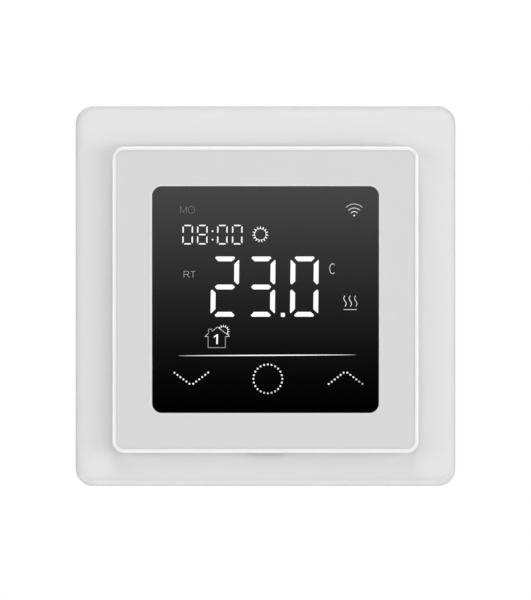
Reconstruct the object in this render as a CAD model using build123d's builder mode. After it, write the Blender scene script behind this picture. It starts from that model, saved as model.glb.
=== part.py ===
"""Flush-mounted touch-screen floor-heating thermostat, as the pieces that it comes apart into.

The row frame: the origin is on the wall plane at the centre of the flush box, +X is to the right
and +Z is up as a person in the room sees it, and the room is towards -Y. A height is a distance in
front of the wall plane, so the room side is positive and the flush box is negative.
"""

import os

from build123d import *

os.makedirs("parts", exist_ok=True)

# Driving dimensions, in millimetres.
FRAME_SIZE = 84.0  # decorative frame, square outside
FRAME_CORNER = 3.9
FRAME_FACE = 9.5  # height of the frame's face
FRAME_RISE = 0.76  # the frame's top border is wider than its bottom one by twice this
PLATE_SIZE = 67.8  # raised plate of the front cover
PLATE_CORNER = 2.7
PLATE_FACE = 15.0  # height of the plate's raised rim
PLATE_DISH = 0.15  # the plate inside its rim is this much lower
WINDOW_SIZE = 50.0  # black display window
WINDOW_CORNER = 2.1
BODY_SIZE = 49.0  # part of the housing that goes into a 60 mm flush box
BODY_CORNER = 14.0
BODY_DEPTH = 27.0
BOX_SCREW_SPACING = 60.0  # fixing screws of a European flush box
POLES = 6
POLE_PITCH = 6.4
SCREW_THREAD = 3.0  # terminal screw, metric coarse thread
THREAD_PITCH = 0.5

# The stack, as heights of the faces between one layer and the next.
YOKE_FRONT = 1.0
FLANGE_FRONT = 2.2
LID_FRONT = 3.4
BACK_REAR = 3.7
BACK_FRONT = 4.9
BOARD_REAR = 8.1
BOARD_FRONT = 9.3
BACKLIGHT_FRONT = 10.9
LCD_STEP = 12.0
LCD_FRONT = 13.0
TAPE_FRONT = 13.2
WINDOW_FRONT = 14.75
SKIRT_REAR = FRAME_FACE + 0.1
LEDGE_REAR = 12.0
FACE_REAR = 13.4
POWER_BOARD_FRONT = 0.0
POWER_BOARD_REAR = -1.6
STEP_FLOOR = -15.6  # the housing's step, which leaves the terminal block outside
STEP_EDGE = -9.0

# Sizes that several pieces share.
BOX_WALL_OUTER = 63.4  # square wall of the front cover that goes through the frame
BOX_WALL_INNER = 60.6
FLANGE_SIZE = 53.0
FLANGE_CORNER = 3.0
CLEARANCE = 0.2
MODULE_SCREW_AT = 27.0
HOUSING_SCREW_AT = 23.0
LINK_Z = 18.0  # centre line of the plug-in link between the two boards
LINK_PINS = 8
LINK_PITCH = 2.54
LINK_LENGTH = 20.9
LINK_PIN = 0.64
LCD_WIDTH = 45.0
LCD_TALL = 35.9
LCD_Z = 5.25
KEY_X = (-16.4, 0.5, 17.6)  # touch keys: down, power, up
KEY_Z = -17.5
KEY_NAMES = ("down", "power", "up")
SENSOR_AT = (20.0, -28.6)


def level(height):
    """The plane parallel to the wall at a height; a sketch on it faces the room."""
    return Plane.XZ.offset(height)


def slab(width, tall, low, high, corner=0.0, at=((0, 0),), mode=Mode.ADD):
    """Rectangular blocks between two heights, their centres at the (x, z) points of at."""
    with BuildSketch(level(low)) as outline:
        with Locations(*at):
            if corner:
                RectangleRounded(width, tall, corner)
            else:
                Rectangle(width, tall)
    extrude(outline.sketch, amount=high - low, mode=mode)


def disc(radius, low, high, at=((0, 0),), mode=Mode.ADD):
    """Round bars or holes between two heights, their centres at the (x, z) points of at."""
    with BuildSketch(level(low)) as outline:
        with Locations(*at):
            Circle(radius)
    extrude(outline.sketch, amount=high - low, mode=mode)


def corners(reach):
    """The four points at (+-reach, +-reach)."""
    return [(x, z) for x in (-reach, reach) for z in (-reach, reach)]


def edges_at(part, height):
    """The edges of a part that lie wholly in the plane at a height."""
    return part.edges().filter_by_position(Axis.Y, -height, -height)


def save(builder, name):
    """Labels a finished piece and writes its STEP file."""
    builder.part.label = name
    export_step(builder.part, f"parts/{name}.step")


# ---------------------------------------------------------------- decorative frame
FRAME_WALL = 1.8
FRAME_ROUND = 1.5
APERTURE = BOX_WALL_OUTER + 1.2
RIM_OUTER = APERTURE + 3.0
RIM_REAR = 3.4  # leaves room for the heads of the box screws
centre_up = ((0, FRAME_RISE),)

with BuildPart() as decor_frame:
    slab(FRAME_SIZE, FRAME_SIZE, 0, FRAME_FACE, FRAME_CORNER, centre_up)
    fillet(edges_at(decor_frame, FRAME_FACE), FRAME_ROUND)
    hollow = FRAME_SIZE - 2 * FRAME_WALL
    slab(hollow, hollow, 0, FRAME_FACE - FRAME_WALL, FRAME_CORNER - FRAME_WALL, centre_up, Mode.SUBTRACT)
    slab(RIM_OUTER, RIM_OUTER, RIM_REAR, FRAME_FACE - FRAME_WALL, 3.0)
    # stiffening ribs between the outer wall and the rim round the aperture
    reach = FRAME_SIZE / 2 - 1
    for place in (-21.0, 0.0, 21.0):
        slab(1.2, 2 * reach, RIM_REAR, FRAME_FACE - FRAME_WALL, 0, ((place, FRAME_RISE),))
        slab(2 * reach, 1.2, RIM_REAR, FRAME_FACE - FRAME_WALL, 0, ((0, place),))
    slab(APERTURE, APERTURE, 0, FRAME_FACE, 2.0, mode=Mode.SUBTRACT)
save(decor_frame, "decor_frame")

# ---------------------------------------------------------------- front cover
SKIRT_WALL = 1.5
RIM_ROUND = 0.6
RIM_WIDTH = 0.9
WINDOW_GAP = 0.05
WINDOW_BEVEL = 0.2
dish_face = PLATE_FACE - PLATE_DISH
LEDGE = 1.5  # how far the ledge reaches in behind the window
BOSS_R = 2.3
MODULE_SCREW_R = 1.0
VENT_TALL = 8.0  # passes through both walls of the cover
vents = [(x, side * PLATE_SIZE / 2) for x in range(8, 27, 3) for side in (-1, 1)]

with BuildPart() as front_cover:
    slab(PLATE_SIZE, PLATE_SIZE, SKIRT_REAR, PLATE_FACE, PLATE_CORNER)
    fillet(edges_at(front_cover, PLATE_FACE), RIM_ROUND)
    dish = PLATE_SIZE - 2 * RIM_WIDTH
    slab(dish, dish, dish_face, PLATE_FACE, PLATE_CORNER - RIM_WIDTH, mode=Mode.SUBTRACT)
    inside = PLATE_SIZE - 2 * SKIRT_WALL
    slab(inside, inside, SKIRT_REAR, FACE_REAR, 1.4, mode=Mode.SUBTRACT)
    # square wall that goes through the frame and carries the module's back
    slab(BOX_WALL_OUTER, BOX_WALL_OUTER, BACK_FRONT, FACE_REAR, 2.0)
    slab(BOX_WALL_INNER, BOX_WALL_INNER, BACK_FRONT, FACE_REAR, 1.0, mode=Mode.SUBTRACT)
    # pocket for the window, and the ledge that it is taped to
    slab(WINDOW_SIZE + 5, WINDOW_SIZE + 5, LEDGE_REAR, FACE_REAR, 3.0)
    opening = WINDOW_SIZE - 2 * LEDGE
    slab(opening, opening, LEDGE_REAR, LCD_FRONT, 1.0, mode=Mode.SUBTRACT)
    pocket = WINDOW_SIZE + 2 * WINDOW_GAP
    slab(pocket, pocket, LCD_FRONT, PLATE_FACE, WINDOW_CORNER + WINDOW_GAP, mode=Mode.SUBTRACT)
    mouth = [e for e in edges_at(front_cover, dish_face) if max(abs(e.center().X), abs(e.center().Z)) < 26]
    chamfer(mouth, WINDOW_BEVEL)
    # bosses for the screws that close the module
    disc(BOSS_R, BOARD_FRONT, FACE_REAR, corners(MODULE_SCREW_AT))
    disc(MODULE_SCREW_R, BOARD_FRONT, FACE_REAR - 0.6, corners(MODULE_SCREW_AT), Mode.SUBTRACT)
    # air slots through the top and bottom walls, beside the room sensor
    slab(1.2, VENT_TALL, 10.6, 12.4, 0, vents, Mode.SUBTRACT)
    # notch in the bottom edge, where a screwdriver prises the module off
    slab(8, 3, SKIRT_REAR, SKIRT_REAR + 0.9, 0, ((0, -PLATE_SIZE / 2),), Mode.SUBTRACT)
save(front_cover, "front_cover")

# ---------------------------------------------------------------- display window and its tape
with BuildPart() as display_window:
    slab(WINDOW_SIZE, WINDOW_SIZE, TAPE_FRONT, WINDOW_FRONT, WINDOW_CORNER)
    chamfer(edges_at(display_window, WINDOW_FRONT), 0.15)
save(display_window, "display_window")

with BuildPart() as window_tape:
    slab(WINDOW_SIZE - 0.4, WINDOW_SIZE - 0.4, LCD_FRONT, TAPE_FRONT, WINDOW_CORNER - 0.2)
    slab(opening, opening, LCD_FRONT, TAPE_FRONT, 1.0, mode=Mode.SUBTRACT)
save(window_tape, "window_tape")

# ---------------------------------------------------------------- liquid crystal display
CONTACT_LEDGE = 2.1  # front glass stands out past the rear glass, for the contacts
STRIP_WIDTH = 1.6
LED_ROOM = 1.8
CARRIER_WALL = 0.5
CARRIER_FRONT = LEDGE_REAR - 0.1
lcd_at = ((0, LCD_Z),)
lcd_bottom = LCD_Z - LCD_TALL / 2
lcd_top = LCD_Z + LCD_TALL / 2

with BuildPart() as lcd_panel:
    rear_glass = LCD_TALL - CONTACT_LEDGE
    slab(LCD_WIDTH, rear_glass, BACKLIGHT_FRONT, LCD_STEP, 0, ((0, lcd_bottom + rear_glass / 2),))
    slab(LCD_WIDTH, LCD_TALL, LCD_STEP, LCD_FRONT, 0, lcd_at)
save(lcd_panel, "lcd_panel")

with BuildPart() as backlight_panel:
    lit = LCD_TALL - CONTACT_LEDGE - LED_ROOM
    lit_z = lcd_bottom + LED_ROOM + lit / 2
    slab(LCD_WIDTH, lit, BOARD_FRONT, BACKLIGHT_FRONT, 0, ((0, lit_z),))
save(backlight_panel, "backlight_panel")

with BuildPart() as backlight_leds:
    led_row = [(x, lcd_bottom + LED_ROOM / 2) for x in (-16.5, -5.5, 5.5, 16.5)]
    slab(2.8, 1.2, BOARD_FRONT, BOARD_FRONT + 0.9, 0, led_row)
save(backlight_leds, "backlight_leds")

with BuildPart() as lcd_contact_strip:
    slab(42, STRIP_WIDTH, BOARD_FRONT, LCD_STEP, 0, ((0, lcd_top - CONTACT_LEDGE / 2),))
save(lcd_contact_strip, "lcd_contact_strip")

with BuildPart() as lcd_carrier:
    gap = 2 * 0.1
    across, upright = LCD_WIDTH + gap, LCD_TALL + gap
    around = 2 * CARRIER_WALL
    slab(across + around, upright + around, BOARD_FRONT, CARRIER_FRONT, 0.4, lcd_at)
    slab(across, upright, BOARD_FRONT, CARRIER_FRONT, 0, lcd_at, Mode.SUBTRACT)
save(lcd_carrier, "lcd_carrier")

# ---------------------------------------------------------------- touch keys
GUIDE_TOP = -13.4
GUIDE_BOTTOM = -22.6
WELL_R = 3.7
SPRING_R = 2.3
SPRING_WIRE = 0.5
SPRING_TURNS = 4

with BuildPart() as key_light_guide:
    guide_tall = GUIDE_TOP - GUIDE_BOTTOM
    guide_z = (GUIDE_TOP + GUIDE_BOTTOM) / 2
    slab(45, guide_tall, BOARD_FRONT, LCD_FRONT, 1.0, ((0, guide_z),))
    wells = [(x, KEY_Z) for x in KEY_X]
    disc(WELL_R, BOARD_FRONT, LCD_FRONT, wells, Mode.SUBTRACT)
save(key_light_guide, "key_light_guide")

for key, x in zip(KEY_NAMES, KEY_X):
    with BuildPart() as touch_spring:
        coil_low = BOARD_FRONT + 0.6
        coil_tall = LCD_FRONT - SPRING_WIRE / 2 - coil_low
        with BuildLine() as coil:
            Helix(coil_tall / SPRING_TURNS, coil_tall, SPRING_R, (x, -coil_low, KEY_Z), (0, -1, 0))
        with BuildSketch(Plane(coil.line @ 0, z_dir=coil.line % 0)):
            Circle(SPRING_WIRE / 2)
        sweep(path=coil.line, is_frenet=True)
        # solder pad that the coil stands on
        disc(SPRING_R + SPRING_WIRE / 2, BOARD_FRONT, BOARD_FRONT + 0.3, ((x, KEY_Z),))
        disc(0.4, BOARD_FRONT + 0.3, coil_low, ((x + SPRING_R, KEY_Z),))
    save(touch_spring, f"touch_spring_{key}")

with BuildPart() as key_leds:
    beside_keys = [(x + side * 3.1, KEY_Z) for x in KEY_X for side in (-1, 1)]
    slab(0.7, 1.2, BOARD_FRONT, BOARD_FRONT + 0.6, 0, beside_keys)
save(key_leds, "key_leds")

# ---------------------------------------------------------------- display board and what it carries
BOARD_SIZE = 60.0
CHIP = 10.0
CHIP_AT = (-11.0, 5.0)
CHIP_LEADS = 12

with BuildPart() as display_board:
    slab(BOARD_SIZE, BOARD_SIZE, BOARD_REAR, BOARD_FRONT, 1.5)
    disc(1.2, BOARD_REAR, BOARD_FRONT, corners(MODULE_SCREW_AT), Mode.SUBTRACT)
save(display_board, "display_board")

with BuildPart() as microcontroller:
    slab(CHIP, CHIP, BOARD_REAR - 1.5, BOARD_REAR - 0.1, 0.3, (CHIP_AT,))
    along = [(n - (CHIP_LEADS - 1) / 2) * 0.8 for n in range(CHIP_LEADS)]
    foot = CHIP / 2 + 0.5
    across_leads = [(CHIP_AT[0] + side * foot, CHIP_AT[1] + a) for side in (-1, 1) for a in along]
    upright_leads = [(CHIP_AT[0] + a, CHIP_AT[1] + side * foot) for side in (-1, 1) for a in along]
    slab(1.0, 0.35, BOARD_REAR - 0.7, BOARD_REAR, 0, across_leads)
    slab(0.35, 1.0, BOARD_REAR - 0.7, BOARD_REAR, 0, upright_leads)
save(microcontroller, "microcontroller")

WIRELESS_AT = (15.0, 3.0)
with BuildPart() as wireless_board:
    slab(16, 22, BOARD_REAR - 0.8, BOARD_REAR, 0.3, (WIRELESS_AT,))
save(wireless_board, "wireless_board")

with BuildPart() as wireless_shield:
    can_at = ((WIRELESS_AT[0], WIRELESS_AT[1] - 2.6),)
    slab(13, 14, BOARD_REAR - 2.8, BOARD_REAR - 0.8, 0.5, can_at)
    fillet(edges_at(wireless_shield, BOARD_REAR - 2.8), 0.3)
save(wireless_shield, "wireless_shield")

CELL_AT = (-15.0, -15.0)
CELL_R = 6.25
with BuildPart() as clock_cell:
    disc(CELL_R, BOARD_REAR - 2.4, BOARD_REAR - 0.5, (CELL_AT,))
    fillet(edges_at(clock_cell, BOARD_REAR - 2.4), 0.4)
save(clock_cell, "clock_cell")

with BuildPart() as cell_clip:
    clip_low = BOARD_REAR - 2.7
    slab(2 * CELL_R + 2.0, 6.0, clip_low, BOARD_REAR, 0, (CELL_AT,))
    slab(2 * CELL_R + 1.2, 6.0, clip_low + 0.25, BOARD_REAR, 0, (CELL_AT,), Mode.SUBTRACT)
    disc(2.0, clip_low, clip_low + 0.25, (CELL_AT,), Mode.SUBTRACT)
    feet = [(CELL_AT[0] + side * (CELL_R + 1.8), CELL_AT[1]) for side in (-1, 1)]
    slab(2.0, 3.0, BOARD_REAR - 0.25, BOARD_REAR, 0, feet)
save(cell_clip, "cell_clip")

with BuildPart() as room_sensor:
    lead_at = [(SENSOR_AT[0] + side * 0.7, SENSOR_AT[1]) for side in (-1, 1)]
    disc(0.25, BOARD_REAR - 1.9, BOARD_REAR, lead_at)
    disc(1.3, BOARD_REAR - 2.9, BOARD_REAR - 1.2, (SENSOR_AT,))
    fillet(edges_at(room_sensor, BOARD_REAR - 2.9), 0.8)
save(room_sensor, "room_sensor")

# ---------------------------------------------------------------- plug-in link between the boards
pin_row = [((n - (LINK_PINS - 1) / 2) * LINK_PITCH, LINK_Z) for n in range(LINK_PINS)]
BAR_REAR = 5.6
PIN_TIP = 0.7

with BuildPart() as link_pin_bar:
    slab(LINK_LENGTH, 2.5, BAR_REAR, BOARD_REAR, 0.3, ((0, LINK_Z),))
    slab(LINK_PIN, LINK_PIN, BAR_REAR, BOARD_REAR, 0, pin_row, Mode.SUBTRACT)
save(link_pin_bar, "link_pin_bar")

with BuildPart() as link_pins:
    slab(LINK_PIN, LINK_PIN, PIN_TIP, BOARD_REAR, 0, pin_row)
    chamfer(edges_at(link_pins, PIN_TIP), 0.2)
save(link_pins, "link_pins")

with BuildPart() as link_socket:
    slab(LINK_LENGTH, 2.6, POWER_BOARD_FRONT, LID_FRONT - 0.3, 0.3, ((0, LINK_Z),))
    hole = LINK_PIN + 0.26
    slab(hole, hole, POWER_BOARD_FRONT + 0.3, LID_FRONT - 0.3, 0, pin_row, Mode.SUBTRACT)
save(link_socket, "link_socket")

# ---------------------------------------------------------------- back of the front module
TUBE_R = 2.9
HEAD_R = 1.8
HEAD_SEAT = 5.2
HOOK_X = FLANGE_SIZE / 2 + 0.8
HOOK_Z = 14.0
HOOK_TIP = YOKE_FRONT + 0.3

with BuildPart() as module_back:
    slab(BOX_WALL_OUTER, BOX_WALL_OUTER, BACK_REAR, BACK_FRONT, 2.0)
    fillet(edges_at(module_back, BACK_REAR), 0.4)
    disc(TUBE_R, BACK_FRONT, BOARD_REAR, corners(MODULE_SCREW_AT))
    disc(HEAD_R + CLEARANCE, BACK_REAR, HEAD_SEAT, corners(MODULE_SCREW_AT), Mode.SUBTRACT)
    disc(MODULE_SCREW_R + 0.15, HEAD_SEAT, BOARD_REAR, corners(MODULE_SCREW_AT), Mode.SUBTRACT)
    slab(LINK_LENGTH + 1.0, 3.6, BACK_REAR, BACK_FRONT, 0.5, ((0, LINK_Z),), Mode.SUBTRACT)
    # breathing slots behind the room sensor
    breath = [(x, -27.5) for x in (12, 15, 18, 21)]
    slab(1.2, 5.0, BACK_REAR, BACK_FRONT, 0.5, breath, Mode.SUBTRACT)
    # snap hooks that grip the edges of the base, each with a small barb
    for side in (-1, 1):
        hooks = [(side * HOOK_X, z) for z in (-HOOK_Z, HOOK_Z)]
        slab(1.0, 7.0, HOOK_TIP, BACK_REAR, 0, hooks)
        barbs = [(side * (HOOK_X - 0.6), z) for z in (-HOOK_Z, HOOK_Z)]
        slab(0.2, 7.0, HOOK_TIP, HOOK_TIP + 0.7, 0, barbs)
save(module_back, "module_back")

with BuildPart() as module_screws:
    disc(HEAD_R, HEAD_SEAT - 1.3, HEAD_SEAT, corners(MODULE_SCREW_AT))
    fillet(edges_at(module_screws, HEAD_SEAT - 1.3), 0.5)
    disc(MODULE_SCREW_R, HEAD_SEAT, FACE_REAR - 1.0, corners(MODULE_SCREW_AT))
    slab(2.0, 0.5, HEAD_SEAT - 1.3, HEAD_SEAT - 0.6, 0, corners(MODULE_SCREW_AT), Mode.SUBTRACT)
    slab(0.5, 2.0, HEAD_SEAT - 1.3, HEAD_SEAT - 0.6, 0, corners(MODULE_SCREW_AT), Mode.SUBTRACT)
save(module_screws, "module_screws")

# ---------------------------------------------------------------- steel mounting yoke
YOKE_SIZE = 71.0
SLOT_WIDTH = 3.8
SLOT_LENGTH = 6.2
TAB_FRONT = 5.5
HOUSING_SCREW_R = 1.25
box_screw = BOX_SCREW_SPACING / 2

with BuildPart() as mounting_yoke:
    slab(YOKE_SIZE, YOKE_SIZE, 0, YOKE_FRONT, 6.0)
    slab(BODY_SIZE + 1, BODY_SIZE + 1, 0, YOKE_FRONT, BODY_CORNER + 0.5, mode=Mode.SUBTRACT)
    with BuildSketch(level(0)):
        with Locations((-box_screw, 0), (box_screw, 0)):
            SlotOverall(SLOT_LENGTH, SLOT_WIDTH)
        with Locations((0, -box_screw), (0, box_screw)):
            SlotOverall(SLOT_LENGTH, SLOT_WIDTH, rotation=90)
    extrude(amount=YOKE_FRONT, mode=Mode.SUBTRACT)
    disc(HOUSING_SCREW_R, 0, YOKE_FRONT, corners(HOUSING_SCREW_AT), Mode.SUBTRACT)
    # bent tabs that centre the decorative frame's rim
    tab = RIM_OUTER / 2 + 0.2 + 0.5
    slab(1.0, 9.0, YOKE_FRONT, TAB_FRONT, 0, ((-tab, -10), (-tab, 10), (tab, -10), (tab, 10)))
save(mounting_yoke, "mounting_yoke")

# ---------------------------------------------------------------- base housing and lid
WALL = 1.4
INNER = BODY_SIZE - 2 * WALL
INNER_CORNER = BODY_CORNER - WALL
POST_AT = ((-17.0, 4.0), (17.5, 9.0))
POST_R = 2.2
BOARD_SCREW_R = 1.0

with BuildPart() as base_housing:
    slab(BODY_SIZE, BODY_SIZE, -BODY_DEPTH, YOKE_FRONT, BODY_CORNER)
    fillet(edges_at(base_housing, -BODY_DEPTH), 1.2)
    slab(FLANGE_SIZE, FLANGE_SIZE, YOKE_FRONT, FLANGE_FRONT, FLANGE_CORNER)
    slab(INNER, INNER, -BODY_DEPTH + WALL, FLANGE_FRONT, INNER_CORNER, mode=Mode.SUBTRACT)
    # posts that the power board is screwed to
    disc(POST_R, -BODY_DEPTH + WALL, POWER_BOARD_REAR, POST_AT)
    disc(BOARD_SCREW_R, POWER_BOARD_REAR - 7, POWER_BOARD_REAR, POST_AT, Mode.SUBTRACT)
    # step at the bottom of the rear, which leaves room for the terminal block outside
    step_tall = BODY_SIZE / 2 + STEP_EDGE
    step_z = STEP_EDGE - step_tall / 2
    slab(BODY_SIZE, step_tall, -BODY_DEPTH, STEP_FLOOR, 0, ((0, step_z),), Mode.SUBTRACT)
    with BuildSketch(level(STEP_FLOOR)):
        RectangleRounded(BODY_SIZE, BODY_SIZE, BODY_CORNER)
        with Locations((0, BODY_SIZE / 2 + STEP_EDGE)):
            Rectangle(BODY_SIZE, BODY_SIZE, mode=Mode.SUBTRACT)
    extrude(amount=0.8)
    with BuildSketch(level(-BODY_DEPTH)):
        with Locations((0, STEP_EDGE + WALL / 2)):
            Rectangle(2 * 24.4, WALL)
        RectangleRounded(BODY_SIZE - 1, BODY_SIZE - 1, BODY_CORNER - 0.5, mode=Mode.INTERSECT)
    extrude(amount=BODY_DEPTH + STEP_FLOOR + 0.8)
    # slot for the terminal contacts on their way to the board
    slab(36, 1.6, STEP_FLOOR, STEP_FLOOR + 0.8, 0, ((0, -10.5),), Mode.SUBTRACT)
    # cooling slots in the rear wall, behind the relay
    cooling = [(x, 8.5) for x in range(-15, 16, 5)]
    slab(1.6, 12.0, -BODY_DEPTH, -BODY_DEPTH + WALL, 0.7, cooling, Mode.SUBTRACT)
    disc(HOUSING_SCREW_R + 0.05, YOKE_FRONT, FLANGE_FRONT, corners(HOUSING_SCREW_AT), Mode.SUBTRACT)
save(base_housing, "base_housing")

CSK_R = 2.4
CSK_DEPTH = 1.15
with BuildPart() as base_lid:
    slab(FLANGE_SIZE, FLANGE_SIZE, FLANGE_FRONT, LID_FRONT, FLANGE_CORNER)
    slab(LINK_LENGTH + 0.6, 3.2, FLANGE_FRONT, LID_FRONT, 0.4, ((0, LINK_Z),), Mode.SUBTRACT)
    # rib that holds the power board down
    slab(30, 1.5, POWER_BOARD_FRONT + 0.1, FLANGE_FRONT, 0, ((0, -3.0),))
    with BuildSketch(level(LID_FRONT)) as mouths:
        with Locations(*corners(HOUSING_SCREW_AT)):
            Circle(CSK_R)
    extrude(mouths.sketch, amount=-CSK_DEPTH, taper=45, mode=Mode.SUBTRACT)
    disc(HOUSING_SCREW_R + 0.05, FLANGE_FRONT, LID_FRONT, corners(HOUSING_SCREW_AT), Mode.SUBTRACT)
save(base_lid, "base_lid")

with BuildPart() as housing_screws:
    with BuildSketch(level(LID_FRONT - 0.05)) as heads:
        with Locations(*corners(HOUSING_SCREW_AT)):
            Circle(CSK_R - 0.1)
    extrude(heads.sketch, amount=-1.0, taper=45)
    disc(HOUSING_SCREW_R, 0.05, LID_FRONT - 1.05, corners(HOUSING_SCREW_AT))
    slab(2.6, 0.5, LID_FRONT - 0.65, LID_FRONT, 0, corners(HOUSING_SCREW_AT), Mode.SUBTRACT)
    slab(0.5, 2.6, LID_FRONT - 0.65, LID_FRONT, 0, corners(HOUSING_SCREW_AT), Mode.SUBTRACT)
save(housing_screws, "housing_screws")

# ---------------------------------------------------------------- power board and what it carries
pole_x = [(n - (POLES - 1) / 2) * POLE_PITCH for n in range(POLES)]
CONTACT_Z = -10.5
CONTACT_THICK = 0.8
contact_pins = [(x, CONTACT_Z) for x in pole_x]

with BuildPart() as power_board:
    slab(INNER - 0.8, INNER - 0.8, POWER_BOARD_REAR, POWER_BOARD_FRONT, INNER_CORNER - 0.4)
    disc(BOARD_SCREW_R + 0.15, POWER_BOARD_REAR, POWER_BOARD_FRONT, POST_AT, Mode.SUBTRACT)
    slab(1.3, 1.1, POWER_BOARD_REAR, POWER_BOARD_FRONT, 0, contact_pins, Mode.SUBTRACT)
save(power_board, "power_board")

with BuildPart() as power_board_screws:
    disc(HEAD_R, POWER_BOARD_FRONT, POWER_BOARD_FRONT + 1.2, POST_AT)
    disc(BOARD_SCREW_R, POWER_BOARD_REAR - 5, POWER_BOARD_FRONT, POST_AT)
    slab(2.2, 0.5, POWER_BOARD_FRONT + 0.6, POWER_BOARD_FRONT + 1.2, 0, POST_AT, Mode.SUBTRACT)
save(power_board_screws, "power_board_screws")


def hanging(width, tall, depth, at, corner=0.0, gap=0.0):
    """A component on the rear of the power board, reaching a depth towards the back of the housing."""
    slab(width, tall, POWER_BOARD_REAR - gap - depth, POWER_BOARD_REAR - gap, corner, (at,))


with BuildPart() as relay:
    hanging(18.4, 10.2, 15.3, (-4.5, 15.5), 0.6)
    fillet(edges_at(relay, POWER_BOARD_REAR - 15.3), 0.5)
save(relay, "relay")

TRANSFORMER_AT = (-6.0, 2.4)
with BuildPart() as transformer_coil:
    hanging(7.6, 9.6, 8.0, TRANSFORMER_AT, 1.0, gap=1.5)
    hanging(11.6, 12.0, 1.0, TRANSFORMER_AT, 0.3)
    hanging(3.0, 9.0, 0.5, TRANSFORMER_AT, gap=1.0)
save(transformer_coil, "transformer_coil")

with BuildPart() as transformer_core:
    hanging(11.6, 4.2, 10.6, TRANSFORMER_AT, gap=1.0)
    hanging(7.8, 9.8, 8.6, TRANSFORMER_AT, gap=1.0)
    slab(7.8, 9.8, POWER_BOARD_REAR - 9.7, POWER_BOARD_REAR - 1.0, 0, (TRANSFORMER_AT,), Mode.SUBTRACT)
save(transformer_core, "transformer_core")

with BuildPart() as safety_capacitor:
    hanging(13.0, 5.0, 10.5, (-13.5, -6.4), 0.4)
save(safety_capacitor, "safety_capacitor")

with BuildPart() as smoothing_capacitors:
    cans = ((4.6, 4.4), (4.6, -4.2))
    disc(3.9, POWER_BOARD_REAR - 11.5, POWER_BOARD_REAR - 0.4, cans)
    fillet(edges_at(smoothing_capacitors, POWER_BOARD_REAR - 11.5), 0.5)
    fillet(edges_at(smoothing_capacitors, POWER_BOARD_REAR - 0.4), 0.5)
    legs = [(x + side, z) for x, z in cans for side in (-1.0, 1.0)]
    disc(0.3, POWER_BOARD_REAR - 0.4, POWER_BOARD_REAR, legs)
save(smoothing_capacitors, "smoothing_capacitors")

with BuildPart() as varistor:
    with BuildSketch(Plane.YZ.offset(15.0)):
        with Locations((-POWER_BOARD_REAR + 5.6, -1.5)):
            Circle(4.2)
    extrude(amount=3.0)
    fillet(varistor.edges().filter_by(GeomType.CIRCLE), 0.8)
    disc(0.35, POWER_BOARD_REAR - 3.0, POWER_BOARD_REAR, ((16.5, -3.6), (16.5, 0.6)))
save(varistor, "varistor")

with BuildPart() as fuse:
    hanging(8.4, 3.8, 7.6, (12.8, -7.7), 0.8)
save(fuse, "fuse")

with BuildPart() as bridge_rectifier:
    hanging(4.6, 6.4, 2.4, (13.0, 16.0), 0.3)
save(bridge_rectifier, "bridge_rectifier")

# ---------------------------------------------------------------- terminal block
BLOCK_WIDTH = POLES * POLE_PITCH + 1.6
BLOCK_BOTTOM = -20.3
BLOCK_TOP = -9.3
BLOCK_FRONT = STEP_FLOOR - 0.2
BLOCK_WALL = 1.8
CHAMBER_WIDTH = 5.2
CHAMBER_BOTTOM = BLOCK_BOTTOM + 1.2
CHAMBER_TOP = BLOCK_TOP - 0.6
SCREW_Z = -15.2
screw_row = [(x, SCREW_Z) for x in pole_x]
chamber_rear = -BODY_DEPTH + BLOCK_WALL
BAR_REAR_FACE = -20.6
BAR_FRONT_FACE = BAR_REAR_FACE + CONTACT_THICK
MOUTH_TALL = 2.6  # room for the conductor when the clamp is open
mouth_middle = BAR_FRONT_FACE + MOUTH_TALL / 2

with BuildPart() as terminal_block:
    block_tall = BLOCK_TOP - BLOCK_BOTTOM
    block_z = (BLOCK_TOP + BLOCK_BOTTOM) / 2
    slab(BLOCK_WIDTH, block_tall, -BODY_DEPTH, BLOCK_FRONT, 0.6, ((0, block_z),))
    fillet(edges_at(terminal_block, -BODY_DEPTH), 0.5)
    chamber_tall = CHAMBER_TOP - CHAMBER_BOTTOM
    chambers = [(x, (CHAMBER_TOP + CHAMBER_BOTTOM) / 2) for x in pole_x]
    slab(CHAMBER_WIDTH, chamber_tall, chamber_rear, BLOCK_FRONT, 0, chambers, Mode.SUBTRACT)
    # screwdriver holes, each with a lip that keeps its screw in
    disc(SCREW_THREAD / 2 + 0.7, -BODY_DEPTH + 0.3, chamber_rear, screw_row, Mode.SUBTRACT)
    disc(SCREW_THREAD / 2 + 0.3, -BODY_DEPTH, -BODY_DEPTH + 0.3, screw_row, Mode.SUBTRACT)
    # wire entries in the bottom, each with a funnel
    with BuildSketch(Plane.XY.offset(BLOCK_BOTTOM)) as mouths:
        with Locations(*[(x, -mouth_middle) for x in pole_x]):
            Rectangle(3.6, MOUTH_TALL)
    extrude(mouths.sketch, amount=CHAMBER_BOTTOM - BLOCK_BOTTOM, mode=Mode.SUBTRACT)
    with BuildSketch(Plane.XY.offset(BLOCK_BOTTOM)) as funnels:
        with Locations(*[(x, -mouth_middle) for x in pole_x]):
            Rectangle(4.8, MOUTH_TALL + 1.2)
    extrude(funnels.sketch, amount=0.55, taper=45, mode=Mode.SUBTRACT)
save(terminal_block, "terminal_block")

with BuildPart() as terminal_contacts:
    bar_bottom = CHAMBER_BOTTOM + 0.5
    bar_tall = CONTACT_Z + 0.5 - bar_bottom
    bar_at = [(x, bar_bottom + bar_tall / 2) for x in pole_x]
    slab(3.0, bar_tall, BAR_REAR_FACE, BAR_FRONT_FACE, 0, bar_at)
    slab(1.1, 0.9, BAR_FRONT_FACE, POWER_BOARD_FRONT + 0.6, 0, contact_pins)
save(terminal_contacts, "terminal_contacts")

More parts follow.
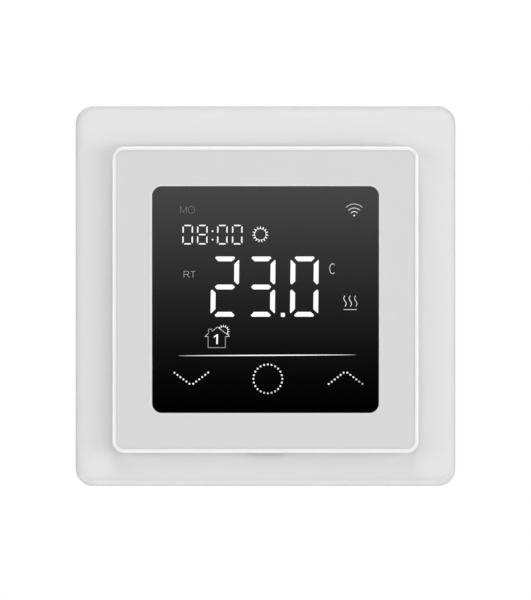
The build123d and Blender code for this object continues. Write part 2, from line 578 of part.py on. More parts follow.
# ---------------------------------------------------------------- terminal screws and clamps
HEAD_FRONT = chamber_rear
HEAD_REAR = -BODY_DEPTH + 0.35
CAGE_TALL = 6.0
CAGE_REAR = -22.4
CAGE_FRONT = -16.4
CAGE_NUT = 1.4
CAGE_FLOOR = 0.8
CAGE_WIDTH = 4.8
CAGE_SIDE = 0.5

for pole, x in enumerate(pole_x, start=1):
    at = ((x, SCREW_Z),)
    with BuildPart() as terminal_screw:
        disc(SCREW_THREAD / 2 + 0.5, HEAD_REAR, HEAD_FRONT, at)
        fillet(edges_at(terminal_screw, HEAD_REAR), 0.2)
        disc(SCREW_THREAD / 2, HEAD_FRONT, BAR_REAR_FACE - 0.05, at)
        chamfer(edges_at(terminal_screw, BAR_REAR_FACE - 0.05), 0.3)
        slab(0.6, 4.4, HEAD_REAR, HEAD_REAR + 0.7, 0, at, Mode.SUBTRACT)
        slab(2.4, 0.6, HEAD_REAR, HEAD_REAR + 0.7, 0, at, Mode.SUBTRACT)
    save(terminal_screw, f"terminal_screw_{pole}")

    with BuildPart() as terminal_clamp:
        slab(CAGE_WIDTH, CAGE_TALL, CAGE_REAR, CAGE_FRONT, 0, at)
        fillet(terminal_clamp.edges().filter_by(Axis.Z), 0.4)
        inside = CAGE_WIDTH - 2 * CAGE_SIDE
        slab(inside, CAGE_TALL, CAGE_REAR + CAGE_NUT, CAGE_FRONT - CAGE_FLOOR, 0, at, Mode.SUBTRACT)
        disc(SCREW_THREAD / 2 + 0.05, CAGE_REAR, CAGE_REAR + CAGE_NUT, at, Mode.SUBTRACT)
    save(terminal_clamp, f"terminal_clamp_{pole}")

clamp_travel = CAGE_FRONT - CAGE_FLOOR - BAR_FRONT_FACE - 0.2  # leaves a thin wire's thickness
print("clamp travel, mm:", round(clamp_travel, 3))
print("terminal screw range, degrees:", round(360 * clamp_travel / THREAD_PITCH, 1))
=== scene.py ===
# %% [markdown]
# # A flush wall thermostat, finished in Blender
#
# The shape, the sizes and everything that moves come from the CAD model, which is loaded as a fixed
# frame. This lesson adds what a camera sees: how each surface is finished, the lit display, and the
# fine detail on the boards, the terminals and the steel parts. The model is in metres, and small
# drawings are given in millimetres. The room is towards -Y, +X is right and +Z is up.

# %% Load the frame
import math

import bmesh
import bpy
import numpy as np
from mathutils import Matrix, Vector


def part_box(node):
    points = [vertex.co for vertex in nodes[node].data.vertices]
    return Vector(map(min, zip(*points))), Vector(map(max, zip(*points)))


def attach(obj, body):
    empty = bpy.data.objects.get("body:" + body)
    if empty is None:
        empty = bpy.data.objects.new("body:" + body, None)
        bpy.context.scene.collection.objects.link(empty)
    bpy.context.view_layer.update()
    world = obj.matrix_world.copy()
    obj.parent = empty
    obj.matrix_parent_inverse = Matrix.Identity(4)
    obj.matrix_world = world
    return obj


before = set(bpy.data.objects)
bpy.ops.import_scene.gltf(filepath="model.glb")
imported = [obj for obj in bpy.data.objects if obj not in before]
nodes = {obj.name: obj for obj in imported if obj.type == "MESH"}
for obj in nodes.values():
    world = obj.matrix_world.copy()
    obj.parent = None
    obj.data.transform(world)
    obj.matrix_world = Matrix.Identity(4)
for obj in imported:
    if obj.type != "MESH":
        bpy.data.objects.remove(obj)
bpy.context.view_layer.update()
MM = 0.001

# %% [markdown]
# ## Arithmetic on surfaces
#
# A finish is a small program: masks are added, multiplied and blended to say where a surface is
# rough, pale or scratched. Wiring each Math node by hand hides that program. Here one small class
# wraps a socket, so that ordinary Python arithmetic builds the nodes, and one method makes any other
# node. Numbers that are the same all over are worked out in Python and set on the shader itself.


# %% A socket that can be calculated with
class Wire:
    """A number or colour that varies over a surface. Arithmetic on it adds Math nodes to its tree."""

    def __init__(self, tree, socket):
        self.tree, self.socket = tree, socket

    def maths(self, operation, *values, clamp=False):
        settings = {"operation": operation, "use_clamp": clamp}
        return self.tree.wire("ShaderNodeMath", settings, dict(enumerate(values)))

    def __add__(self, other):
        return self.maths("ADD", self, other)

    def __sub__(self, other):
        return self.maths("SUBTRACT", self, other)

    def __rsub__(self, other):
        return self.maths("SUBTRACT", other, self)

    def __mul__(self, other):
        return self.maths("MULTIPLY", self, other)

    def __truediv__(self, other):
        return self.maths("DIVIDE", self, other)

    __radd__ = __add__
    __rmul__ = __mul__

    def above(self, edge, softness):
        """0 below edge, 1 above it, with a straight ramp of width softness between."""
        return self.maths("ADD", (self - edge) / softness, 0.5, clamp=True)

    def between(self, low, high, softness):
        """1 between low and high, 0 outside, with soft ends."""
        return self.above(low, softness) * (1 - self.above(high, softness))

    def size(self):
        return self.maths("ABSOLUTE", self)

    def most(self, other):
        return self.maths("MAXIMUM", self, other)

    def length_with(self, other):
        """The long side of the right triangle whose short sides are this number and another."""
        return self.maths("SQRT", self * self + other * other)

    def sine(self):
        return self.maths("SINE", self)

    def angle_from(self, other):
        """The angle of the point whose coordinates are other and this number."""
        return self.maths("ARCTAN2", self, other)

    def wrapped(self, step, middle=0.0):
        """How far past the nearest of the points middle, middle + step, and so on, both ways."""
        return self.maths("MODULO", self + (1000.5 * step - middle), step) - 0.5 * step

    def near(self, reach, softness):
        """1 where the number is within reach of 0, and 0 beyond, with a soft edge."""
        return 1 - self.size().above(reach, softness)


# %% A tree of nodes, and a finish made with one
class Tree:
    """Builds nodes of any kind in one node tree."""

    def __init__(self, node_tree):
        self.nodes, self.links = node_tree.nodes, node_tree.links

    def node(self, kind, settings, values):
        """A node of a kind. Settings come first, a ramp's stops among them, then its inputs."""
        made = self.nodes.new(kind)
        for name, value in settings.items():
            if name == "stops":
                self.set_stops(made.color_ramp, value)
            else:
                setattr(made, name, value)
        for key, value in values.items():
            if isinstance(value, Wire):
                self.links.new(value.socket, made.inputs[key])
            else:
                made.inputs[key].default_value = value
        return made

    def wire(self, kind, settings, values, output=0):
        return Wire(self, self.node(kind, settings, values).outputs[output])

    @staticmethod
    def set_stops(ramp, stops):
        while len(ramp.elements) < len(stops):
            ramp.elements.new(0.5)
        for element, (place, value) in zip(ramp.elements, stops):
            element.position, element.color = place, (value, value, value, 1)

    def axes(self, output="Object"):
        """The three coordinates as three numbers, Object ones in metres."""
        split = self.node("ShaderNodeSeparateXYZ", {}, {0: self.wire("ShaderNodeTexCoord", {}, {}, output)})
        return [Wire(self, split.outputs[n]) for n in range(3)]


class Finish(Tree):
    """One material. What varies is fed to its shader's sockets, and what doesn't is set on them."""

    def __init__(self, name, colour, roughness, metallic=0.0, specular=0.5, coat=0.0):
        self.material = bpy.data.materials.new(name)
        self.material.use_nodes = True
        super().__init__(self.material.node_tree)
        self.shader = self.nodes["Principled BSDF"]
        self.set("Base Color", (*colour, 1))
        self.set("Roughness", roughness)
        self.set("Metallic", metallic)
        self.set("Specular IOR Level", specular)
        self.set("Coat Weight", coat)
        self.set("Coat Roughness", 0.08)

    def set(self, name, value):
        self.shader.inputs[name].default_value = value

    def feed(self, name, wire):
        self.links.new(wire.socket, self.shader.inputs[name])

    def stretched(self, sizes):
        """Object coordinates divided by a size along each axis, so that noise is stretched."""
        place = self.wire("ShaderNodeTexCoord", {}, {}, "Object")
        scale = tuple(1 / size for size in sizes)
        return self.wire("ShaderNodeMapping", {}, {"Vector": place, "Scale": scale})

    def noise(self, size, detail=3.0):
        """Cloudy noise from 0 to 1 whose blobs are size metres across, or one size for each axis."""
        sizes = size if isinstance(size, tuple) else (size,) * 3
        values = {"Vector": self.stretched(sizes), "Scale": 1.0, "Detail": detail, "Roughness": 0.55}
        return self.wire("ShaderNodeTexNoise", {}, values)

    def cells(self, size):
        """Distance to the nearest of many scattered points about size metres apart."""
        values = {"Vector": self.stretched((size,) * 3), "Scale": 1.0}
        return self.wire("ShaderNodeTexVoronoi", {}, values)

    def mix(self, mask, first, second):
        """The first colour where mask is 0 and the second where it is 1."""
        blend = self.node("ShaderNodeMix", {"data_type": "RGBA"}, {0: mask})
        for socket, colour in zip((blend.inputs[6], blend.inputs[7]), (first, second)):
            if isinstance(colour, Wire):
                self.links.new(colour.socket, socket)
            else:
                socket.default_value = (*colour, 1)
        return Wire(self, blend.outputs[2])

    def paint(self, mask, first, second):
        self.feed("Base Color", self.mix(mask, first, second))

    def relief(self, height, depth, edge=0.0):
        """Bumps where height goes from 0 to 1, depth metres tall, on edges softened by edge metres."""
        values = {"Strength": 1.0, "Distance": depth, "Height": height}
        if edge:
            values["Normal"] = self.wire("ShaderNodeBevel", {"samples": 6}, {"Radius": edge})
        self.feed("Normal", self.wire("ShaderNodeBump", {}, values))


def grey(value):
    return (value, value, value)


def tint(colour, factor):
    """A colour made lighter or darker by a factor."""
    return tuple(min(1.0, part * factor) for part in colour)


def cover(finish, *names):
    """Puts a finish on whole CAD nodes."""
    for name in names:
        materials = nodes[name].data.materials
        materials.clear()
        materials.append(finish.material)
    print(finish.material.name, "on", ", ".join(names))


def place(thing):
    """Puts an object into the scene."""
    bpy.context.scene.collection.objects.link(thing)


# %% [markdown]
# ## Camera
#
# The thermostat is seen square on, with a long lens from three metres, so that its sides don't show.
# The lens gives a square field a little over one and a half times as wide as the frame.

# %% Camera
FIELD = 132.9 * MM
DISTANCE = 3.0
frame_low, frame_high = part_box("decor_frame")
camera_data = bpy.data.cameras.new("camera")
camera_data.sensor_width = 36
camera_data.lens = camera_data.sensor_width * DISTANCE / FIELD
camera_data.clip_start, camera_data.clip_end = 0.1, 20
camera_data.dof.use_dof = False
camera = bpy.data.objects.new("camera", camera_data)
camera.location = (0, (frame_high.y + frame_low.y) / 2 - DISTANCE, -0.09 * MM)
camera.rotation_euler = (math.radians(90), 0, 0)
place(camera)
bpy.context.scene.camera = camera
print("lens", round(camera_data.lens), "mm for a field of", round(FIELD / MM, 1), "mm")

# %% [markdown]
# ## Light
#
# Four softboxes stand right, left, above and below the camera. Each spans a wide angle, so the step
# between frame and plate throws only a soft shadow. None stands on a diagonal, so the frame stays
# bright at its corners. The right and upper ones are the strongest, and the lower one is smaller and
# nearer to the camera's line. The room's walls give a soft fill from the sides and from behind, but
# the wall behind the camera is dark, or the polished window would mirror it.


# %% Softboxes
def area_light(name, sizes, power, location, degrees):
    panel = bpy.data.lights.new(name, "AREA")
    panel.shape = "RECTANGLE"
    panel.size, panel.size_y = sizes
    panel.energy = power
    lamp = bpy.data.objects.new(name, panel)
    lamp.location = location
    lamp.rotation_euler = [math.radians(angle) for angle in degrees]
    place(lamp)


def softbox(name, side, height, share, tilt, radial):
    """A panel tilt degrees off the camera's line, facing the thermostat, with a share of the power."""
    out = math.sin(math.radians(tilt)) * REACH
    back = math.cos(math.radians(tilt)) * REACH
    area_light(name, (radial, ACROSS) if side else (ACROSS, radial), POWER * share,
               (side * out, -back, height * out), (90 - height * tilt, 0, side * tilt))


REACH = 1.4
ACROSS = 0.7
POWER = 30.0
softbox("softbox right", 1, 0, 0.29, 47, 1.5)
softbox("softbox left", -1, 0, 0.24, 47, 1.5)
softbox("softbox top", 0, 1, 0.29, 50, 1.5)
softbox("softbox bottom", 0, -1, 0.18, 32, 0.9)
print("softboxes:", len(bpy.data.lights), "of", POWER, "watts together")

# %% Lamp over the back
REAR_POWER = 7.0
area_light("softbox rear", (1.2, 1.2), REAR_POWER, (-0.3, 1.0, 1.1), (-42, 0, 15))
print("rear lamp", REAR_POWER, "watts")

# %% Room
FILL = 0.18
BEHIND_CAMERA = 0.03
world = bpy.data.worlds.new("studio")
bpy.context.scene.world = world
world.use_nodes = True
room = Tree(world.node_tree)
towards_camera = 0 - room.axes("Generated")[1]
dark_wall = towards_camera.above(math.cos(math.radians(45)), 0.2)
fill = FILL + dark_wall * (BEHIND_CAMERA - FILL)
seen = room.wire("ShaderNodeLightPath", {}, {}, "Is Camera Ray")
backdrop = room.nodes["Background"]
backdrop.inputs["Color"].default_value = (1, 1, 1, 1)
room.links.new((seen + (1 - seen) * fill).socket, backdrop.inputs["Strength"])
bpy.context.scene.view_settings.view_transform = "Standard"
print("fill light", FILL, "and behind the camera", BEHIND_CAMERA)

# %% [markdown]
# ## Meshes from grids
#
# Every new piece is a grid of points worked out by one formula, so a few lines give any number of
# faces. Two shapes are enough for the drawn symbols: a pad, which is an outline drawn in towards its
# middle, and a ribbon, which is a plate between two edge lines. Both are closed all round.


# %% Grid helpers
def grid_faces(rows, columns, along=False):
    """Quads of a grid of points whose rows are rings. along joins the last row to the first."""
    row = np.arange(rows if along else rows - 1)[:, None]
    column = np.arange(columns)[None, :]
    beside = (column + 1) % columns
    upper = (row + 1) % rows * columns
    corners = (row * columns + column, row * columns + beside, upper + beside, upper + column)
    return np.stack(np.broadcast_arrays(*corners), -1).reshape(-1, 4)


def close_up(work, distance):
    """Welds points that meet, and turns every face outwards."""
    bmesh.ops.remove_doubles(work, verts=work.verts, dist=distance)
    bmesh.ops.recalc_face_normals(work, faces=work.faces)


def add_piece(name, shells, finish, body):
    """One mesh from closed shells, each an array of points in millimetres and its quads."""
    starts = np.cumsum([0] + [points.reshape(-1, 3).shape[0] for points, _ in shells])
    points = np.concatenate([points.reshape(-1, 3) for points, _ in shells]) * MM
    faces = np.concatenate([quads + start for (_, quads), start in zip(shells, starts)])
    mesh = bpy.data.meshes.new(name)
    mesh.from_pydata(points.tolist(), [], faces.tolist())
    work = bmesh.new()
    work.from_mesh(mesh)
    close_up(work, 0.0002 * MM)
    work.to_mesh(mesh)
    work.free()
    mesh.materials.append(finish.material)
    piece = bpy.data.objects.new(name, mesh)
    place(piece)
    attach(piece, body)
    print(name, "rides on", body, "with", len(mesh.polygons), "faces")
    return piece


def pad(outline, rear, front, edge=0.01):
    """A flat pad: rings of the outline scaled about its middle, a pole in front and one behind."""
    middle = outline.mean(0)
    reach = np.linalg.norm(outline - middle, axis=1).mean()
    scale = np.array([0, 1 - edge / reach, 1, 1, 0])[:, None, None]
    height = np.array([front, front, front - edge, rear, rear])[:, None]
    flat = middle + scale * (outline - middle)
    depth = np.broadcast_to(-height, flat.shape[:2])
    return np.stack([flat[..., 0], depth, flat[..., 1]], -1), grid_faces(5, len(outline))


def ribbon(near, far, rear, front, closed=False):
    """A plate between two edge lines: four corners, near and far, front and rear, carried along."""
    flat = np.stack([near, far, far, near], 1)
    depth = np.broadcast_to(-np.array([front, front, rear, rear]), flat.shape[:2])
    points = np.stack([flat[..., 0], depth, flat[..., 1]], -1)
    faces = grid_faces(len(near), 4, along=closed)
    if not closed:
        last = 4 * (len(near) - 1)
        faces = np.concatenate([faces, [[3, 2, 1, 0], [last, last + 1, last + 2, last + 3]]])
    return points, faces


# %% Outlines and lines
def arc(middle, radius, start, stop, steps):
    """Points on a circle from one angle to another, in degrees anticlockwise from +X."""
    angle = np.radians(np.linspace(start, stop, steps))[:, None]
    return np.asarray(middle) + radius * np.hstack([np.cos(angle), np.sin(angle)])


def circle(middle, radius, steps=12):
    return arc(middle, radius, 0, 360, steps + 1)[:-1]


def rounded(corners, radius, steps=4):
    """A convex outline with round corners: its edges moved in by the radius and joined by arcs."""
    corner = np.asarray(corners, float)
    ahead = np.roll(corner, -1, 0) - corner
    turning = np.cross(np.append(ahead[0], 0), np.append(ahead[1], 0))[2]
    if turning < 0:
        corner = corner[::-1]
        ahead = np.roll(corner, -1, 0) - corner
    ahead /= np.linalg.norm(ahead, axis=1)[:, None]
    leaving = np.stack([ahead[:, 1], -ahead[:, 0]], 1)
    coming = np.roll(leaving, 1, 0)
    both = coming + leaving
    inner = corner - radius * both / (1 + (coming * leaving).sum(1))[:, None]
    start = np.arctan2(coming[:, 1], coming[:, 0])
    turn = np.mod(np.arctan2(leaving[:, 1], leaving[:, 0]) - start, 2 * np.pi)
    angle = start[:, None] + turn[:, None] * np.linspace(0, 1, steps)
    swept = np.stack([np.cos(angle), np.sin(angle)], -1)
    return (inner[:, None] + radius * swept).reshape(-1, 2)


def line(points, width, rear, front, closed=False):
    """A ribbon of even width along a line, mitred where it turns."""
    along = np.asarray(points, float)
    step = np.roll(along, -1, 0) - along
    step /= np.linalg.norm(step, axis=1)[:, None]
    leaving = np.stack([-step[:, 1], step[:, 0]], 1)
    coming = np.roll(leaving, 1, 0)
    if not closed:
        coming[0], leaving[-1] = leaving[0], coming[-1]
    mitre = (coming + leaving) / (1 + (coming * leaving).sum(1))[:, None] * width / 2
    return ribbon(along + mitre, along - mitre, rear, front, closed)


print("grid helpers ready")

# %% [markdown]
# ## White moulded plastic
#
# The frame, the cover and the module's back are moulded white plastic. A mould for such a part is
# spark eroded, which leaves a fine, even grain that takes the shine off. The grain is a fifth of a
# millimetre across and a few micrometres deep, so bump carries it. Two faint clouds of colour and
# gloss keep a broad flat face from looking computed. The frame's edges are rounded in the CAD, and a
# Bevel node blends the light over a wider strip, so that they look softer without changing shape.


# %% White plastic
def moulded(name, colour, roughness=0.45, grain=0.0002, depth=3e-6, specular=0.35, edge=0.0):
    """Plastic with a fine eroded grain. Returns the finish and the colour that it is fed."""
    made = Finish(name, colour, roughness, specular=specular)
    cloud = made.noise(0.02, detail=2.0)
    fine = made.noise(grain, detail=2.0)
    made.colour = made.mix(cloud, tint(colour, 0.994), tint(colour, 1.006))
    made.feed("Base Color", made.colour)
    made.feed("Roughness", roughness - 0.03 + cloud * 0.04 + fine * 0.03)
    made.relief(fine, depth, edge)
    return made


FRAME_WHITE = 0.80
cover(moulded("frame white", grey(FRAME_WHITE), edge=3.0 * MM), "decor_frame")

# %% [markdown]
# ## The cover's rim
#
# The flat of the cover is a shade greyer than the frame. Its rim, and the thin bevel where the window
# sits, are polished, so they are glossier, and a painted highlight makes them paler too. A painted
# shade line just inside the rim is a little darker, where shade falls at the rim's foot. All three
# follow a square with round corners, so a mask measures how far a point is from such a square. This
# is the usual distance formula: the amount by which a point passes each side, taken together as a
# length, less the corner's radius.


# %% Cover
def square_edge(finish, half, corner):
    """Metres outside a rounded square round the origin, and negative inside it."""
    across, _, up = finish.axes()
    past_side = across.size() - (half - corner)
    past_top = up.size() - (half - corner)
    outside = past_side.most(0).length_with(past_top.most(0))
    inside = past_side.most(past_top).maths("MINIMUM", past_side.most(past_top), 0)
    return outside + inside - corner


PLATE_WHITE = 0.68
RIM_HIGHLIGHT_WHITE = 0.9
GROOVE_SHADE_WHITE = 0.63
RIM_WIDTH = 0.88 * MM
BEVEL_WIDTH = 0.32 * MM
GROOVE_SHADE_INSIDE = 1.12 * MM
cover_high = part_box("front_cover")[1]
window_low, window_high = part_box("display_window")
plate_white = moulded("plate white", grey(PLATE_WHITE))
from_rim = square_edge(plate_white, cover_high.x, 2.7 * MM)
from_window = square_edge(plate_white, window_high.x, 2.1 * MM)
rim_gloss_and_highlight = from_rim.above(-RIM_WIDTH, 0.1 * MM)
bevel = 1 - from_window.above(BEVEL_WIDTH, 0.05 * MM)
bright = rim_gloss_and_highlight.most(bevel)
# painted shade: a darker line just inside the rim, where shade falls at the rim's foot
groove_shade = (from_rim + GROOVE_SHADE_INSIDE).near(0.12 * MM, 0.2 * MM)
flat_colour = plate_white.mix(groove_shade, plate_white.colour, grey(GROOVE_SHADE_WHITE))
# painted highlight: the rim and the window's bevel are painted paler than the flat; their coat and lower
# roughness are real gloss
plate_white.paint(bright, flat_colour, grey(RIM_HIGHLIGHT_WHITE))
plate_white.feed("Roughness", 0.45 - bright * 0.2)
plate_white.feed("Coat Weight", bright)
cover(plate_white, "front_cover")

# %% [markdown]
# ## The black display window
#
# The window is a sheet of acrylic with black ink behind it. It is polished in front, so it has a
# clear gloss. It looks dark grey at the top and black at the foot, as glass does that mirrors a soft
# light above it. That fade is a painted reflection in the ink's colour, set by height on the object,
# so that it stays put when the camera moves.

# %% Window finish
TOP_REFLECTION = 0.063
FOOT_REFLECTION = 0.0
black_lens = Finish("black lens", grey(0.02), 0.07, specular=0.12)
height = black_lens.axes()[2]
window_tall = window_high.z - window_low.z
up = (height - window_low.z) / window_tall
# painted reflection: the ink's colour goes from dark grey at the top to black at the foot
reflection_fade = black_lens.wire("ShaderNodeValToRGB", {"stops": [
    (0.0, FOOT_REFLECTION), (0.15, 0.0017), (0.3, 0.0053), (0.5, 0.0160), (0.75, 0.038), (1.0, TOP_REFLECTION),
]}, {0: up})
black_lens.feed("Base Color", reflection_fade)
black_lens.feed("Roughness", 0.05 + black_lens.noise(0.006) * 0.03)
cover(black_lens, "display_window")
print("window fade over", round(window_tall / MM, 1), "mm")

# %% [markdown]
# ## Lit symbols
#
# The display is a dark panel whose symbols let the backlight through, so what shows is flat shapes
# of white light. They could be painted into the window's material, but a drawn shape keeps a sharp
# edge at any distance. Each symbol is a pad a fiftieth of a millimetre proud of the window, and its
# finish glows. Smaller symbols let less light through.

# %% Light through the panel
WINDOW_FACE = -window_low.y / MM
SHOWN = (WINDOW_FACE - 0.005, WINDOW_FACE + 0.02)


def lit_pad(outline):
    return pad(outline, *SHOWN)


def show(name, shells, finish):
    return add_piece(name, shells, finish, "front")


def lit(name, brightness):
    """White light of a brightness from 0 to 1, a little uneven as a backlight is."""
    made = Finish(name, grey(0.04), 0.3, specular=0.1)
    cloud = made.noise(0.004, detail=1.0)
    made.glowing = made.mix(cloud, grey(brightness * 0.97), grey(brightness * 1.03))
    made.feed("Emission Color", made.glowing)
    made.set("Emission Strength", 1.0)
    return made


bright_light = lit("display light bright", 1.0)
clear_light = lit("display light clear", 0.95)
soft_light = lit("display light soft", 0.62)
faint_light = lit("display light faint", 0.28)
print("display light at 4 brightnesses")


# %% [markdown]
# ## Digits
#
# Numbers are built from seven bars, named a to g as on every such display. A bar's ends are cut at
# 45 degrees, so that two neighbours leave an even gap. The point of an outer bar's end sits off its
# middle line, towards the outside of the digit.


# %% Seven-bar digits
def bar(start, stop, outward, points, stroke):
    """Outline of a bar from tip to tip. points says how far each tip is outwards, in strokes."""
    start, stop, outward = np.array(start), np.array(stop), np.array(outward)
    length = np.linalg.norm(stop - start)
    ahead = (stop - start) / length
    first, last = points[0] * stroke, points[1] * stroke
    half = stroke / 2
    along = np.array([half + first, 0, half - first, length - half + last, length, length - half - last])
    aside = np.array([-half, first, half, half, last, -half])
    corners = start + along[:, None] * ahead + aside[:, None] * outward
    return rounded(corners, 0.13 * stroke)


def digit(lit_bars, middle, half, rows, stroke, gap, lean=0.0):
    """Pads for the lit bars of a digit: its middle, half width and three rows are bar centre lines."""
    top, centre, bottom = rows
    left, right = middle - half, middle + half
    tips, end, mid = gap * 0.8, gap * 0.45, gap * 1.3
    bars = {
        "a": ((left + tips, top), (right - tips, top), (0, 1), (0.2, 0.2)),
        "b": ((right, centre + mid), (right, top - end), (1, 0), (0.2, 0.4)),
        "c": ((right, bottom + end), (right, centre - mid), (1, 0), (0.4, 0.2)),
        "d": ((left + tips, bottom), (right - tips, bottom), (0, -1), (0.2, 0.2)),
        "e": ((left, bottom + end), (left, centre - mid), (-1, 0), (0.4, 0.2)),
        "f": ((left, centre + mid), (left, top - end), (-1, 0), (0.2, 0.4)),
        "g": ((left + tips, centre), (right - tips, centre), (0, 1), (0.0, 0.0)),
    }
    shells = []
    for name in lit_bars:
        outline = bar(*bars[name], stroke)
        outline[:, 0] += lean * (outline[:, 1] - centre)
        shells.append(lit_pad(outline))
    return shells


ZERO, TWO, THREE, EIGHT = "abcdef", "abged", "abgcd", "abcdefg"
big = {"half": 2.57, "rows": (8.98, 2.78, -3.24), "stroke": 1.06, "gap": 0.42, "lean": 0.011}
shells = digit(TWO, -8.97, **big) + digit(THREE, -0.97, **big) + digit(ZERO, 8.58, **big)
point = [(3.4, -3.81), (4.28, -3.81), (4.28, -2.93), (3.4, -2.93)]
shells.append(lit_pad(rounded(point, 0.12)))
show("lit_temperature", shells, bright_light)

small = {"half": 1.01, "rows": (16.36, 14.34, 12.31), "stroke": 0.3, "gap": 0.26, "lean": 0.01}
hours_and_minutes = ((ZERO, -17.18), (EIGHT, -13.95), (ZERO, -9.53), (ZERO, -6.24))
shells = sum((digit(bars, x, **small) for bars, x in hours_and_minutes), [])
shells += [lit_pad(circle((-11.7, z), 0.2)) for z in (15.09, 13.24)]
show("lit_clock", shells, clear_light)


# %% [markdown]
# ## Small drawn symbols
#
# The sun is a toothed ring: its outer edge is a circle with a saw wave added. The radio waves are
# arcs above a dot, and the heating sign is three sine waves over a line. The house is drawn with
# clear roof lines, faint walls and part of a second sun behind it. The letters are thin strokes. The
# rule above the keys is a lens shape, so it fades at its ends.


# %% Sun, radio waves and heating sign
TOOTH_HEIGHT = 1.4
TOOTH_RUN = 0.19


def toothed(middle, inner, outer, tip, teeth, start, stop):
    """A ring whose outer edge is a circle plus a saw: TOOTH_HEIGHT - distance from tooth / TOOTH_RUN."""
    closed = stop - start == 360
    samples = 8 * teeth + (0 if closed else 1)
    share = np.arange(samples) / (8 * teeth)
    angle = np.radians(start + share * (stop - start))[:, None]
    saw = np.clip(TOOTH_HEIGHT - np.abs(share * teeth % 1 - 0.5) / TOOTH_RUN, 0, 1)[:, None]
    round_it = np.hstack([np.cos(angle), np.sin(angle)])
    far = np.asarray(middle) + (outer + (tip - outer) * saw) * round_it
    near = np.asarray(middle) + inner * round_it
    return ribbon(far, near, *SHOWN, closed)


def drawn(points, width, closed=False):
    return line(points, width, *SHOWN, closed)


sun = toothed((-1.13, 14.4), 1.2, 1.28, 1.82, 15, 6, 366)
show("lit_sun", [sun], bright_light)

dot_at = (19.58, 18.55)
waves = [drawn(arc((dot_at[0], top - r), r, 90 + a, 90 - a, 17), w)
         for top, r, a, w in ((19.44, 0.82, 56, 0.15), (20.22, 1.79, 45, 0.12), (21.1, 2.53, 45, 0.09))]
waves.append(lit_pad(circle(dot_at, 0.17)))
show("lit_radio_waves", waves, clear_light)

down = np.linspace(0, 1, 25)
heat = [drawn(np.stack([x - 0.27 * np.sin(2 * np.pi * down), 0.85 - 2.35 * down], 1), w)
        for x, w in ((17.55, 0.13), (18.73, 0.13), (19.94, 0.1))]
heat.append(drawn([(17.25, -2.2), (20.15, -2.2)], 0.1))
show("lit_heating", heat, clear_light)

# %% House, letters and rule
wall_left, wall_right, base, eaves = -12.67, -8.85, -10.6, -8.15
left_eave = [(wall_left, eaves), (-13.35, eaves), (-12.6, -7.42)]
roof = [(-11.75, -6.98), (-10.6, -6.08), (-8.05, -7.98), (-8.0, eaves), (wall_right, eaves)]
small_sun = toothed((-9.3, -6.95), 0.92, 0.98, 1.42, 8, -42, 150)
house = [drawn(left_eave, 0.08), drawn(roof, 0.08), small_sun]
show("lit_house", house, clear_light)
chimney = [(-12.55, -7.42), (-12.58, -6.55), (-11.95, -6.5), (-11.75, -6.98)]
walls = [(wall_left, eaves), (wall_left, base), (wall_right, base), (wall_right, eaves)]
dim_lines = [drawn(chimney, 0.16), drawn(walls, 0.16)]
show("lit_house_walls", dim_lines, faint_light)
numeral = [drawn([(-10.7, -9.84), (-10.66, -7.66)], 0.35),
           drawn([(-11.38, -8.3), (-10.8, -7.86)], 0.25)]
show("lit_house_number", numeral, bright_light)

day = [(0, 0), (0, 1), (0.5, 0.12), (1, 1), (1, 0)]
day = np.array(day) * (1.36, 1.5) + (-18.8, 19.05)
letter_o = circle((0, 0), 1, 32) * (0.73, 0.76) + (-16.37, 19.8)
day_sign = [drawn(day, 0.05), drawn(letter_o, 0.065, closed=True)]
show("lit_day", day_sign, faint_light)

bowl = arc((0.55, 0.75), 0.25, 90, -90, 13)
bowl = np.concatenate([[(0, 0), (0, 1)], bowl, [(0.06, 0.5)]]) * (1.3, 1.4) + (-18.0, 4.86)
leg = np.array([(0.5, 0.45), (1, 0)]) * (1.3, 1.4) + (-18.0, 4.86)
letter_t = np.array([[(-16.5, 6.2), (-15.5, 6.2)], [(-16.0, 6.1), (-16.0, 4.86)]])
room_sign = [drawn(part, 0.065) for part in (bowl, leg, *letter_t)]
show("lit_room", room_sign, soft_light)
letter_c = arc((0, 0), 1, 48, 312, 33) * (0.62, 1.1) + (14.8, 6.82)
show("lit_celsius", [drawn(letter_c, 0.1)], clear_light)

share = np.linspace(0, 1, 41)
swell = 0.125 * np.sin(np.pi * share) ** 0.6
rule = np.stack([-19.5 + 39.6 * share, -12.4 + 0.21 * share], 1)
swell = np.stack([0 * share, swell], 1)
rule = ribbon(rule + swell, rule - swell, *SHOWN)
show("lit_rule", [rule], clear_light)

# %% [markdown]
# ## Touch keys
#
# The keys are rows of small round openings in the ink, lit from a light guide. The lamps sit beside
# each key's middle, so the dots furthest out and lowest get less light. That falloff is a mask on
# the object's own coordinates.

# %% Key dots
key_light = lit("key light", 0.93)
across, _, up = key_light.axes()
outermost = across.size().above(20.4 * MM, 1.2 * MM)
lowest = (0 - up).above(20.1 * MM, 0.5 * MM)
dimmed = (outermost + lowest * 0.6) * 0.62
key_light.feed("Emission Color", key_light.mix(dimmed, key_light.glowing, grey(0.04)))

DOT = 0.21
ring = circle((0.52, -17.5), 3.19, 24)
down_left = np.linspace((-20.1, -16.15), (-16.8, -18.58), 6)
down_right = np.linspace((-15.95, -18.58), (-12.65, -16.1), 6)
up_left = np.linspace((13.96, -18.63), (17.26, -16.13), 6)
up_right = np.linspace((18.08, -16.13), (21.38, -18.6), 6)
for name, dots in (("lit_key_down", (*down_left, *down_right)), ("lit_key_power", ring),
                   ("lit_key_up", (*up_left, *up_right))):
    show(name, [lit_pad(circle(dot, DOT)) for dot in dots], key_light)

